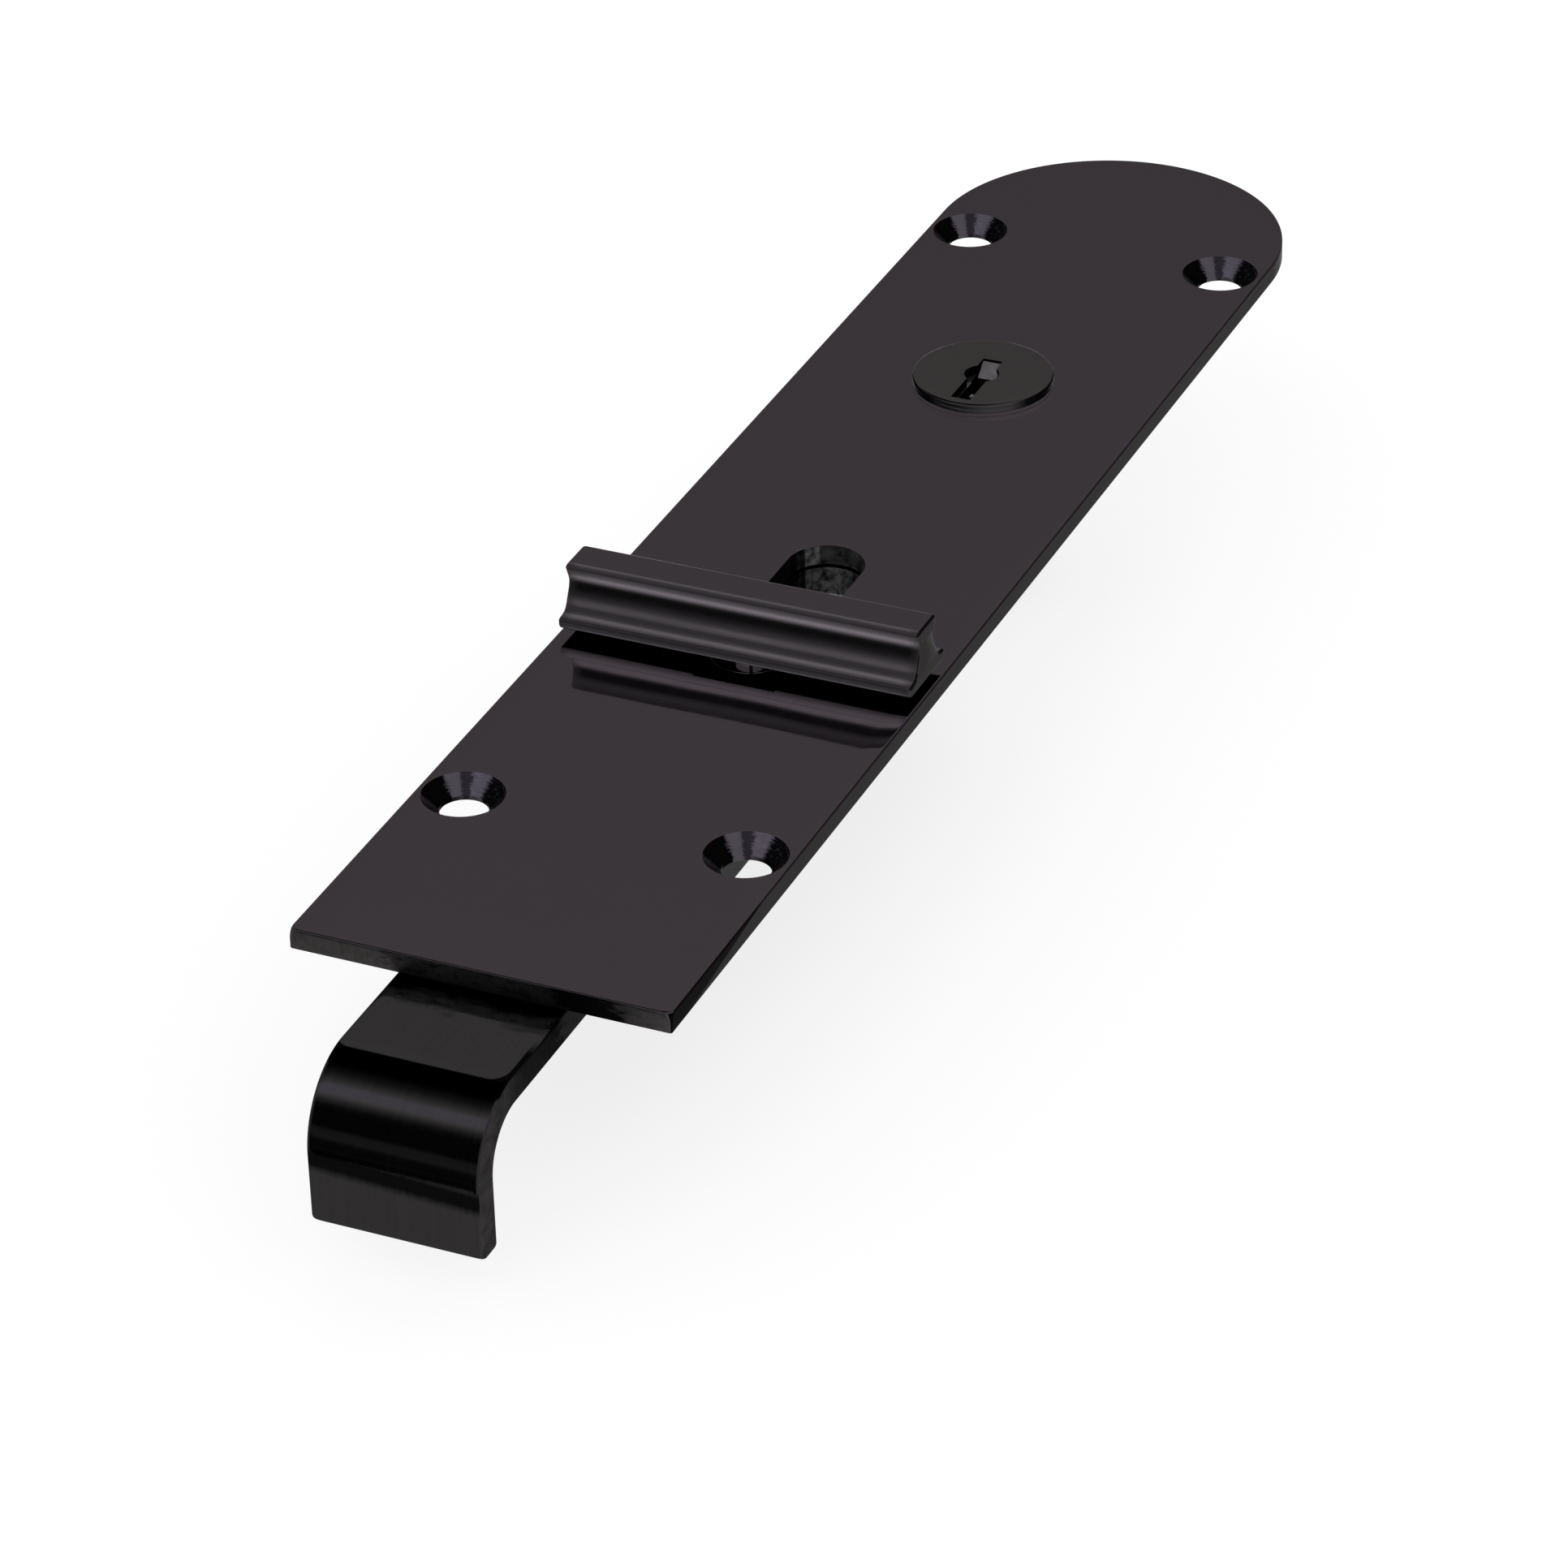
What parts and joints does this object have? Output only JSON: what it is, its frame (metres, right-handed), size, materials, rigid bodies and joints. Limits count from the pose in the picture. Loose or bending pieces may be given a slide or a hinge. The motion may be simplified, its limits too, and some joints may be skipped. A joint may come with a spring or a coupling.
{
  "type": "lockable flush bolt",
  "caption": "Flush bolt on a long face plate with one round end, a down-bent sliding tongue, a waisted finger grip and a key cylinder that locks the slide.",
  "frame": {"origin": "centre of the four screw holes, on the back of the face plate", "axes": "+X across the plate, +Y along the plate towards its round end and away from the tongue, +Z out of the plate's face towards the grip"},
  "size_m": [0.05, 0.254, 0.0386],
  "materials": {
    "black_chrome": "polished black chrome plating",
    "lock_chrome": "polished black chrome plating on the lock",
    "zinc_steel": "bright zinc plating",
    "spring_steel": "tempered spring steel",
    "rail_nylon": "natural nylon",
    "case_black": "black enamel"
  },
  "bodies": {
    "base": {"face_plate": "black_chrome", "guide_case": "case_black", "case_studs": "zinc_steel", "case_washers": "zinc_steel", "case_nuts": "zinc_steel", "slide_rail_left": "rail_nylon", "slide_rail_right": "rail_nylon", "friction_spring": "spring_steel", "spring_rivets": "zinc_steel", "lock_barrel": "lock_chrome", "lock_washer": "zinc_steel", "lock_nut": "zinc_steel"},
    "bolt": {"bolt_bar": "black_chrome", "grip": "black_chrome", "grip_post": "black_chrome", "slot_bush": "black_chrome", "post_washer": "zinc_steel", "post_nut": "zinc_steel", "lock_tail": "zinc_steel", "tail_rivets": "zinc_steel"},
    "plug": {"lock_plug": "lock_chrome", "flap_pin": "zinc_steel", "lock_cam": "zinc_steel", "cam_washer": "zinc_steel", "cam_screw": "zinc_steel"},
    "flap": {"key_flap": "spring_steel"}
  },
  "joints": [
    {"name": "bolt_slide", "type": "slide", "parent": "base", "child": "bolt", "axis": [0, 1, 0], "range_m": [0, 0.024]},
    {"name": "plug_turn", "type": "hinge", "parent": "base", "child": "plug", "pos_m": [0, 0.0405, -0.01], "axis": [0, 0, 1], "range_deg": [0, 90]},
    {"name": "flap_swing", "type": "hinge", "parent": "plug", "child": "flap", "pos_m": [0, 0.0435, 0.0034], "axis": [1, 0, 0], "range_deg": [0, 75], "stiffness_Nm_per_rad": 0.00002, "springref_deg": -28.65}
  ]
}
